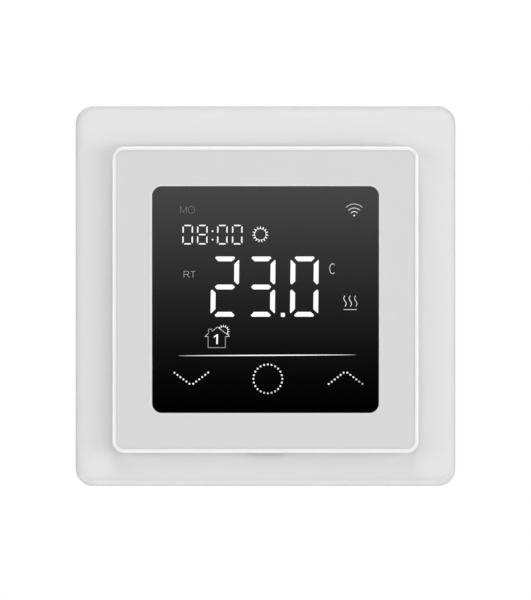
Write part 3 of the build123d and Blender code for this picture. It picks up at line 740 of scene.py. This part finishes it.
# %% [markdown]
# ## Plastic behind the front
#
# These parts come from the same kind of mould, but nobody sees them once the thermostat is up, so
# their texture is coarser and the marks of the ejector pins stay. A pin's mark is a faint round
# ring where it pushed the warm part out. The edges of a moulded part are never quite sharp, and a
# Bevel node gives them a small highlight without changing the shape.


# %% Hidden plastic
def pin_marks(finish, reach, radius, height):
    """A ring round each of four points at (+-reach, +-reach), added to the height of the grain."""
    across, _, up = finish.axes()
    from_pin = (across.size() - reach).length_with(up.size() - reach)
    return height + (from_pin - radius).near(0.12 * MM, 0.1 * MM) * -6.0


def marked(name, colour, reach, radius, **options):
    """Moulded plastic with four pin marks."""
    made = moulded(name, colour, **options)
    height = pin_marks(made, reach, radius, made.noise(options["grain"], detail=2.0))
    made.relief(height, options["depth"], options["edge"])
    return made


back_white = marked("module back white", grey(0.76), 19 * MM, 2.0 * MM,
                    roughness=0.5, grain=0.00025, depth=5e-6, edge=0.15 * MM)
cover(marked("housing grey", (0.72, 0.72, 0.70), 13 * MM, 2.5 * MM,
             roughness=0.5, grain=0.0004, depth=7e-6, edge=0.2 * MM), "base_housing", "base_lid")
cover(back_white, "module_back")

cover(moulded("black moulded", grey(0.03), 0.42, depth=4e-6, edge=0.08 * MM),
      "lcd_carrier", "link_pin_bar", "link_socket", "bridge_rectifier")
cover(moulded("relay black", (0.02, 0.02, 0.022), 0.26, grain=0.0006, depth=2e-6, edge=0.3 * MM), "relay")

terminal_grey = moulded("terminal dark grey", (0.05, 0.055, 0.06), 0.44,
                        grain=0.0003, depth=6e-6, edge=0.12 * MM)
swirl = terminal_grey.noise((0.004, 0.0009, 0.0012), detail=5.0).above(0.6, 0.25)
terminal_grey.paint(swirl * 0.5, terminal_grey.colour, (0.085, 0.09, 0.095))
cover(terminal_grey, "terminal_block")

# %% [markdown]
# ## Steel and brass
#
# Sheet steel is rolled, then zinc plated. Rolling leaves long fine lines in one direction, plating
# leaves clouds of gloss and a faint tint, and punching leaves a rough grey edge. One function makes
# them all: noise stretched along the rolling direction for the lines, and wide noise for the clouds.


# %% Metal
def metal(name, colour, roughness, lines, stain, depth=1.5e-6, edge=0.0):
    """Plated metal. lines is the size of one streak along each axis; stain is a second tint."""
    made = Finish(name, colour, roughness, metallic=1.0)
    streak = made.noise(lines, detail=4.0)
    cloud = made.noise(0.005)
    plated = made.mix(cloud, tint(colour, 0.9), tint(colour, 1.06))
    made.colour = made.mix(made.noise(0.011).above(0.52, 0.3) * 0.6, plated, stain)
    made.gloss = roughness - 0.08 + streak * 0.1 + cloud * 0.08
    made.feed("Base Color", made.colour)
    made.feed("Roughness", made.gloss)
    made.relief(streak, depth, edge)
    return made


def sheared(finish, low, high):
    """Makes the punched edge of a sheet rough and dull: all that is between its two faces."""
    _, depth, _ = finish.axes()
    cut = depth.between(low + 0.08 * MM, high - 0.08 * MM, 0.04 * MM)
    torn = finish.noise((0.0003, 0.004, 0.0003), detail=2.0)
    finish.paint(cut * (0.4 + torn * 0.5), finish.colour, grey(0.34))
    finish.feed("Roughness", finish.gloss + cut * 0.2)


def first_y(node):
    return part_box(node)[0].y


def last_y(node):
    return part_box(node)[1].y


YOKE_SHEET = 1.0 * MM
TIN = (0.72, 0.72, 0.70)
zinc_yoke = metal("zinc plated sheet", (0.66, 0.67, 0.68), 0.36, (0.02, 0.0004, 0.0004),
                  (0.60, 0.65, 0.72), edge=0.08 * MM)
sheared(zinc_yoke, last_y("mounting_yoke") - YOKE_SHEET, last_y("mounting_yoke"))
cover(zinc_yoke, "mounting_yoke")

cover(metal("tinned sheet", (0.70, 0.70, 0.68), 0.27, (0.0005, 0.0004, 0.01), (0.62, 0.61, 0.58),
            edge=0.1 * MM), "wireless_shield", "cell_clip")
cover(metal("nickel plated wire", TIN, 0.22, (0.0004, 0.0012, 0.0004), (0.66, 0.63, 0.58)),
      *[f"touch_spring_{key}" for key in ("down", "power", "up")])
cover(metal("yellow passivated zinc", (0.70, 0.68, 0.60), 0.33, (0.0005, 0.003, 0.0005),
            (0.74, 0.64, 0.38), edge=0.06 * MM), *[f"terminal_clamp_{pole}" for pole in range(1, 7)])

brass = metal("tin flashed brass", (0.78, 0.62, 0.30), 0.25, (0.0003, 0.006, 0.0003),
              (0.74, 0.70, 0.58), edge=0.05 * MM)
rubbed = brass.noise(0.0015).above(0.55, 0.2)
brass.paint(rubbed * 0.6, brass.colour, (0.76, 0.74, 0.68))
cover(brass, "terminal_contacts", "link_pins")

# %% [markdown]
# ## Screws
#
# A screw's head is turned on a lathe, so its fine marks are rings round its axis, and its thread is
# a helix. Both follow from how far a point is from the nearest axis, and at what angle. The axes
# stand in rows, so the distance to the nearest one is the coordinate wrapped at their spacing. The
# recess is painted darker and is rougher.


# %% Screws
def screw_finish(name, from_axis, thread_radius, pitch, head_y, recess):
    """Finish for screws. from_axis gives the two distances to the nearest axis; recess is its depth."""
    made = metal(name, (0.62, 0.62, 0.61), 0.3, (0.0006, 0.0006, 0.0006), (0.55, 0.58, 0.66), edge=0.06 * MM)
    across, depth, up = made.axes()
    beside, above = from_axis(across, up)
    radius = beside.length_with(above)
    helix = (depth * (2 * math.pi / pitch) + above.angle_from(beside)).sine()
    shank = 1 - radius.above(thread_radius * 1.08, 0.02 * MM)
    shank = shank * (depth - head_y).size().above(recess * 2.2, 0.1 * MM)
    rings = (radius * (2 * math.pi / (0.09 * MM))).sine()
    # the recess is painted darker
    deep = (depth - head_y).size().above(recess * 0.5, recess * 0.5) * (1 - shank)
    made.paint(deep * 0.55, made.colour, (0.16, 0.15, 0.14))
    made.feed("Roughness", made.gloss + deep * 0.15)
    made.relief(0.5 + helix * shank * 0.5 + rings * (1 - shank) * 0.02, pitch * 0.3, 0.05 * MM)
    return made


def corner_axes(reach):
    return lambda across, up: (across.size() - reach, up.size() - reach)


def board_axes(across, up):
    return across.wrapped(34.5 * MM, -17 * MM), up.wrapped(100 * MM, 6.5 * MM)


cover(screw_finish("module screw zinc", corner_axes(27 * MM), 1.0 * MM, 0.45 * MM,
                   last_y("module_screws"), 0.7 * MM), "module_screws")
cover(screw_finish("housing screw zinc", corner_axes(23 * MM), 1.25 * MM, 0.5 * MM,
                   first_y("housing_screws"), 0.6 * MM), "housing_screws")
cover(screw_finish("board screw zinc", board_axes, 1.0 * MM, 0.45 * MM,
                   first_y("power_board_screws"), 0.6 * MM), "power_board_screws")
POLE_PITCH = 6.4 * MM
screw_z = sum(corner.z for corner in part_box("terminal_screw_1")) / 2
cover(screw_finish("terminal screw zinc",
                   lambda across, up: (across.wrapped(POLE_PITCH, POLE_PITCH / 2), up - screw_z),
                   1.5 * MM, 0.5 * MM, last_y("terminal_screw_1"), 0.7 * MM),
      *[f"terminal_screw_{pole}" for pole in range(1, 7)])

# %% [markdown]
# ## Circuit boards
#
# A board is glass fibre and resin with copper on both faces, under a coat of coloured resist. The
# tracks show as slightly lighter lines, and bare pads are tinned. Real tracks run in bundles that
# turn at right angles, so noise picks, patch by patch, between lines across and lines up. Pads sit
# on a 2.54 mm grid. The sawn edge shows the straw-coloured laminate.


# %% Boards
PAD_GRID = 2.54 * MM


def board(name, resist, node, spacing):
    """Finish for a circuit board, from its node's box. spacing is the distance between tracks."""
    low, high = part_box(node)
    made = Finish(name, resist, 0.32, specular=0.5, coat=0.3)
    across, depth, up = made.axes()
    patch = made.noise(0.009, detail=0.0)
    upright = patch.above(0.5, 0.02)
    track_up = across.wrapped(spacing).near(spacing * 0.22, 0.03 * MM)
    track_across = up.wrapped(spacing).near(spacing * 0.22, 0.03 * MM)
    tracks = upright * track_up + (1 - upright) * track_across
    poured = made.noise(0.013, detail=0.0).above(0.6, 0.02)
    copper = tracks.most(poured)
    from_pad = across.wrapped(PAD_GRID).length_with(up.wrapped(PAD_GRID))
    chosen = made.noise(0.006, detail=0.0).above(0.57, 0.01)
    tinned = chosen * (1 - from_pad.above(0.75 * MM, 0.04 * MM))
    drilled = chosen * (1 - from_pad.above(0.35 * MM, 0.04 * MM))
    sawn = depth.between(low.y + 0.06 * MM, high.y - 0.06 * MM, 0.03 * MM)
    colour = made.mix(copper * 0.6, resist, tint(resist, 2.1))
    colour = made.mix(tinned, colour, TIN)
    colour = made.mix(drilled, colour, grey(0.02))
    colour = made.mix(sawn, colour, (0.62, 0.55, 0.33))
    made.feed("Base Color", colour)
    made.feed("Metallic", tinned * (1 - drilled) * (1 - sawn))
    made.feed("Roughness", 0.28 + made.noise(0.004) * 0.08 + sawn * 0.35)
    made.relief(copper * 0.5 + tinned * 0.5, 0.035 * MM)
    return made


cover(board("display board resist", (0.03, 0.22, 0.10), "display_board", 0.8 * MM), "display_board")
cover(board("power board resist", (0.03, 0.22, 0.10), "power_board", 1.6 * MM), "power_board")
cover(board("wireless board resist", (0.02, 0.06, 0.22), "wireless_board", 0.5 * MM), "wireless_board")

# %% [markdown]
# ## What shows through the display
#
# Behind the window lie the foam tape, the display glass, its diffusing light guide, the lamps and
# the zebra strip, whose hundreds of thin carbon layers join the glass to the board. Each is given
# the one mark that it is known by: pores, printed dots, phosphor, and fine stripes.

# %% Display parts
foam = Finish("foam tape", grey(0.04), 0.95, specular=0.2)
pores = foam.cells(0.0002)
foam.paint(pores, grey(0.02), grey(0.06))
foam.relief(pores, 0.05 * MM)
cover(foam, "window_tape")

smoked_glass = Finish("display glass", (0.06, 0.07, 0.075), 0.06, specular=0.5, coat=0.5)
SEAL_WIDTH = 1.3 * MM
across = smoked_glass.axes()[0]
seal = across.size().above(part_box("lcd_panel")[1].x - SEAL_WIDTH, 0.1 * MM)
film = smoked_glass.noise(0.01)
glass_colour = smoked_glass.mix(film, (0.055, 0.065, 0.07), (0.07, 0.08, 0.083))
smoked_glass.paint(seal * 0.7, glass_colour, (0.16, 0.17, 0.16))
smoked_glass.feed("Roughness", 0.05 + film * 0.04 + seal * 0.2)
cover(smoked_glass, "lcd_panel")

diffuser = Finish("light guide", (0.93, 0.94, 0.95), 0.25, specular=0.5)
across, _, up = diffuser.axes()
printed = 1 - across.wrapped(0.6 * MM).length_with(up.wrapped(0.6 * MM)).above(0.17 * MM, 0.04 * MM)
diffuser.paint(printed, (0.86, 0.88, 0.90), (0.97, 0.97, 0.96))
diffuser.feed("Roughness", 0.2 + printed * 0.4)
cover(diffuser, "backlight_panel", "key_light_guide")

lamp = Finish("lamp resin", (0.95, 0.91, 0.68), 0.2)
LAMP_SPACING = 11 * MM
lamp_low, lamp_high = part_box("backlight_leds")
across, _, up = lamp.axes()
from_middle = (up - (lamp_low.z + lamp_high.z) / 2) * 2
lens = across.wrapped(LAMP_SPACING, LAMP_SPACING / 2).length_with(from_middle)
phosphor = 1 - lens.above(0.95 * MM, 0.1 * MM)
lamp.paint(phosphor, (0.93, 0.93, 0.91), (0.93, 0.80, 0.20))
lamp.feed("Roughness", 0.45 - phosphor * 0.3)
cover(lamp, "backlight_leds", "key_leds")

zebra = Finish("zebra strip", (0.55, 0.56, 0.58), 0.7, specular=0.3)
stripe = zebra.axes()[0].wrapped(0.18 * MM).near(0.045 * MM, 0.02 * MM)
zebra.paint(stripe, (0.58, 0.59, 0.61), grey(0.03))
zebra.feed("Roughness", 0.65 + zebra.noise(0.001) * 0.1)
cover(zebra, "lcd_contact_strip")

# %% [markdown]
# ## Small parts on the display board
#
# The controller and the sensor are black resin with bright metal leads, and each is one node, so a
# mask says where resin ends and metal starts: by distance from the chip's middle, or by height
# above the board. The mask feeds colour, metal and gloss together.


# %% Resin and leads
def with_leads(name, resin, roughness, leads_from):
    """Resin body and tinned leads in one finish. leads_from gives the mask of the leads."""
    made = Finish(name, resin, roughness)
    leads = leads_from(*made.axes())
    cloud = made.noise(0.0015)
    body = made.mix(cloud, tint(resin, 0.8), tint(resin, 1.25))
    made.body = made.mix(leads, body, TIN)
    made.feed("Base Color", made.body)
    made.feed("Metallic", leads)
    made.feed("Roughness", roughness - 0.05 + cloud * 0.1 - leads * (roughness - 0.3))
    made.relief(made.noise(0.0001, detail=1.0), 1.5e-6, 0.08 * MM)
    return made


def middle(node):
    low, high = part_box(node)
    return (low + high) / 2


chip = middle("microcontroller")
chip_resin = with_leads("chip resin", (0.025, 0.025, 0.028), 0.5, lambda across, depth, up: (
    (across - chip.x).size().most((up - chip.z).size()).above(5.02 * MM, 0.05 * MM)))
across, _, up = chip_resin.axes()
from_pin = (across - (chip.x - 3.9 * MM)).length_with(up - (chip.z + 3.9 * MM))
first_pin = 1 - from_pin.above(0.45 * MM, 0.05 * MM)
chip_resin.paint(first_pin, chip_resin.body, grey(0.06))
cover(chip_resin, "microcontroller")

resin_from = last_y("room_sensor") - 1.75 * MM
sensor_resin = with_leads("sensor resin", grey(0.02), 0.15,
                          lambda across, depth, up: 1 - depth.above(resin_from, 0.1 * MM))
cover(sensor_resin, "room_sensor")

cell_steel = metal("cell steel", (0.76, 0.76, 0.75), 0.24, (0.0003, 0.0003, 0.008),
                   (0.72, 0.71, 0.68), edge=0.1 * MM)
cell = middle("clock_cell")
across, _, up = cell_steel.axes()
from_cell = (across - cell.x).length_with(up - cell.z)
gasket = (from_cell - 5.3 * MM).near(0.14 * MM, 0.05 * MM)
cell_steel.paint(gasket, cell_steel.colour, grey(0.05))
cell_steel.feed("Metallic", 1 - gasket)
cover(cell_steel, "clock_cell")

# %% [markdown]
# ## Parts on the power board
#
# The big parts hang behind the power board: a ferrite core is pressed powder with fine pores, its
# coil is wrapped in glossy yellow tape on a black bobbin, and the capacitors are a filled yellow
# box and two sleeved aluminium cans, whose tops are scored so that they can vent.

# %% Transformer
ferrite = Finish("ferrite", (0.11, 0.105, 0.10), 0.62, specular=0.4)
pits = ferrite.cells(0.00025)
ferrite.paint(ferrite.noise(0.003), (0.085, 0.08, 0.078), (0.14, 0.135, 0.13))
ferrite.feed("Roughness", 0.5 + pits * 0.25)
ferrite.relief(pits, 0.02 * MM, 0.12 * MM)
cover(ferrite, "transformer_core")

coil_tape = Finish("coil tape", (0.85, 0.68, 0.08), 0.22, coat=0.2)
_, depth, _ = coil_tape.axes()
turns = depth.wrapped(1.9 * MM).near(0.08 * MM, 0.05 * MM)
bobbin = 1 - depth.above(3.1 * MM, 0.05 * MM)
wrapped_tape = coil_tape.mix(turns * 0.5, (0.85, 0.68, 0.08), (0.66, 0.48, 0.05))
coil_tape.paint(bobbin, wrapped_tape, grey(0.03))
coil_tape.feed("Roughness", 0.18 + coil_tape.noise(0.002) * 0.12 + bobbin * 0.25)
coil_tape.relief(turns, 0.06 * MM, 0.1 * MM)
cover(coil_tape, "transformer_coil")

# %% Capacitors, varistor and fuse
cover(moulded("film capacitor box", (0.80, 0.66, 0.14), 0.35, grain=0.0005, depth=3e-6, edge=0.15 * MM),
      "safety_capacitor")

CAN_APART = 4.3 * MM
cans = middle("smoothing_capacitors")
sleeve = Finish("capacitor sleeve", (0.03, 0.04, 0.09), 0.3, coat=0.15)
across, depth, up = sleeve.axes()
beside, above = across - cans.x, (up - cans.z).size() - CAN_APART
at_top = depth.above(last_y("smoothing_capacitors") - 0.12 * MM, 0.05 * MM)
open_top = at_top * (1 - beside.length_with(above).above(3.1 * MM, 0.05 * MM))
scored = beside.near(0.12 * MM, 0.05 * MM).most(above.near(0.12 * MM, 0.05 * MM)) * open_top
band = beside.above(3.0 * MM, 0.05 * MM) * (1 - open_top)
sleeve.paint(open_top, sleeve.mix(band, (0.03, 0.04, 0.09), grey(0.7)), grey(0.78))
sleeve.feed("Metallic", open_top)
sleeve.feed("Roughness", 0.26 + sleeve.noise(0.001) * 0.08)
sleeve.relief(1 - scored, 0.12 * MM)
cover(sleeve, "smoothing_capacitors")

leads_below = 2.3 * MM
varistor_dip = with_leads("varistor dip", (0.03, 0.12, 0.50), 0.22,
                          lambda across, depth, up: 1 - depth.above(leads_below, 0.2 * MM))
cover(varistor_dip, "varistor")
cover(moulded("fuse brown", (0.16, 0.06, 0.03), 0.3, grain=0.0005, depth=2e-6, edge=0.2 * MM), "fuse")

# %% [markdown]
# ## Numbers at the terminals
#
# The poles are numbered 1 to 6 beside the wire entries, in raised figures with worn pale ink.
# Blender's own text gives clean figures. Each is made a mesh first, then turned half round to face
# down and moved into place with its vertices, so that the finished object stays at the origin.


# %% Terminal numbers
def raised_text(characters, size, proud):
    """A mesh of text round the origin, size metres tall, that stands out both ways from z = 0."""
    curve = bpy.data.curves.new("figure", "FONT")
    curve.body = characters
    curve.size = size
    curve.extrude = proud
    curve.align_x, curve.align_y = "CENTER", "CENTER"
    holder = bpy.data.objects.new("figure", curve)
    mesh = bpy.data.meshes.new_from_object(holder)
    bpy.data.objects.remove(holder)
    return mesh


FIGURE_RAISED = 0.15 * MM
FIGURE_HEIGHT = 3.2 * MM
FIGURE_DEPTH = 23.6 * MM
block_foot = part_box("terminal_block")[0].z
figures = bmesh.new()
for pole in range(6):
    mesh = raised_text(str(pole + 1), FIGURE_HEIGHT, FIGURE_RAISED)
    points = np.empty(3 * len(mesh.vertices))
    mesh.vertices.foreach_get("co", points)
    x, y, z = points.reshape(-1, 3).T
    placed = np.stack([(pole - 2.5) * POLE_PITCH - x, y + FIGURE_DEPTH, block_foot - z], 1)
    mesh.vertices.foreach_set("co", placed.ravel())
    figures.from_mesh(mesh)
    bpy.data.meshes.remove(mesh)
close_up(figures, 0.001 * MM)
figure_mesh = bpy.data.meshes.new("terminal_numbers")
figures.to_mesh(figure_mesh)
figures.free()
pad_print = Finish("pad print", grey(0.6), 0.55, specular=0.3)
worn = pad_print.noise(0.0004).above(0.68, 0.2)
pad_print.paint(worn, grey(0.62), grey(0.2))
figure_mesh.materials.append(pad_print.material)
terminal_numbers = bpy.data.objects.new("terminal_numbers", figure_mesh)
place(terminal_numbers)
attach(terminal_numbers, "base")
print("terminal numbers:", len(figure_mesh.polygons), "faces")

# %% [markdown]
# ## Mould date mark
#
# Moulded parts carry a small round clock that tells the maker which month they come from: a ring, a
# tick for each month and an arrow. It stands less than a tenth of a millimetre proud of the back.

# %% Date mark
BACK_FACE = 3.7
MARKED = (BACK_FACE - 0.08, BACK_FACE + 0.02)
MARK_AT = np.array([-14.0, -4.0])
MARK_RADIUS = 3.4
tick_turn = np.radians(np.arange(12) * 30)
tick_way = np.stack([np.cos(tick_turn), np.sin(tick_turn)], 1)
ARROW_TURN = [[0.5, -0.87], [0.87, 0.5]]
mark = [line(circle(MARK_AT, radius, 48), 0.2, *MARKED, closed=True)
        for radius in (MARK_RADIUS, 1.3)]
mark += [line([MARK_AT + 2.2 * way, MARK_AT + 3.0 * way], 0.2, *MARKED) for way in tick_way]
shaft = np.array([(0, -0.9), (0, 0.5)]) @ ARROW_TURN
mark.append(line(MARK_AT + shaft, 0.18, *MARKED))
head = np.array([(-0.35, 0.4), (0.35, 0.4), (0, 1.0)]) @ ARROW_TURN
mark.append(pad(rounded(MARK_AT + head, 0.02), *MARKED, edge=0.0))
add_piece("date_mark", mark, back_white, "front")

# %% [markdown]
# ## Wiring label
#
# The lid carries a paper label that only shows when the front is off. Its usual words are left out,
# and what stays is the wiring drawing: six terminals, the supply, the heating cable and the floor
# sensor. Paper is a pad, and each ink line is a ribbon a hundredth of a millimetre above it.

# %% Label
paper = Finish("label paper", grey(0.86), 0.55, specular=0.3)
fibre = paper.noise((0.0006, 0.0006, 0.0002), detail=4.0)
paper.paint(fibre, (0.82, 0.82, 0.80), (0.90, 0.90, 0.89))
paper.relief(fibre, 0.01 * MM)
ink = Finish("label ink", grey(0.02), 0.5, specular=0.3)
ink.paint(ink.noise(0.0002, detail=2.0), grey(0.012), grey(0.05))

LID_FACE = -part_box("base_lid")[0].y / MM
PAPER_TOP = LID_FACE + 0.06
INKED = (PAPER_TOP - 0.005, PAPER_TOP + 0.01)
sheet = [(-18, -18), (18, -18), (18, 1), (-18, 1)]
paper_pad = pad(rounded(sheet, 1.2), LID_FACE - 0.01, PAPER_TOP)
add_piece("label_paper", [paper_pad], paper, "base")


def inked(points, width=0.3, closed=False):
    return line(points, width, *INKED, closed)


POLE_GAP = 4.6
pole_x = [(pole - 2.5) * POLE_GAP for pole in range(6)]
drawing = [inked(circle((x, -13.5), 1.3, 24), closed=True) for x in pole_x]
drawing.append(inked([(-15.5, -15.8), (15.5, -15.8), (15.5, -11.2), (-15.5, -11.2)], closed=True))
drawing += [inked([(x, -12.1), (x, -5.0 if n in (2, 3) else -2.5)]) for n, x in enumerate(pole_x)]
wave = np.linspace(0, 1, 61)
cable_height = -5.0 + 2.4 * np.sin(np.pi * wave) + 0.7 * np.sin(22 * np.pi * wave)
drawing.append(inked(np.stack([pole_x[2] + POLE_GAP * wave, cable_height], 1), 0.25))
left, right = pole_x[4] + 0.9, pole_x[5] - 0.9
drawing.append(inked([(pole_x[4], -2.5), (left, -2.5)]))
drawing.append(inked([(pole_x[5], -2.5), (right, -2.5)]))
drawing.append(inked([(left, -3.1), (right, -3.1), (right, -1.9), (left, -1.9)], 0.25, True))
drawing += [pad(circle((pole_x[n], -2.0), 0.55), *INKED) for n in (0, 1)]
add_piece("label_drawing", drawing, ink, "base")

# %% [markdown]
# ## Floor
#
# A pale round floor lies just under the thermostat. The lowest softbox stands below it, as a lamp
# under a glass table would, so the floor casts no shadow.

# %% Floor
FLOOR_DROP = 0.12
FLOOR_RADIUS = 1.5
turn = np.linspace(0, 2 * np.pi, 97)[:-1]
edge = np.stack([FLOOR_RADIUS * np.cos(turn), FLOOR_RADIUS * np.sin(turn), 0 * turn - FLOOR_DROP], 1)
floor_mesh = bpy.data.meshes.new("floor")
floor_mesh.from_pydata(edge.tolist(), [], [list(range(len(turn)))])
floor = bpy.data.objects.new("floor", floor_mesh)
place(floor)
pale_floor = Finish("pale floor", grey(0.75), 0.8, specular=0.1)
floor_mesh.materials.append(pale_floor.material)
floor.visible_shadow = False
print("floor", FLOOR_DROP, "m below the centre")
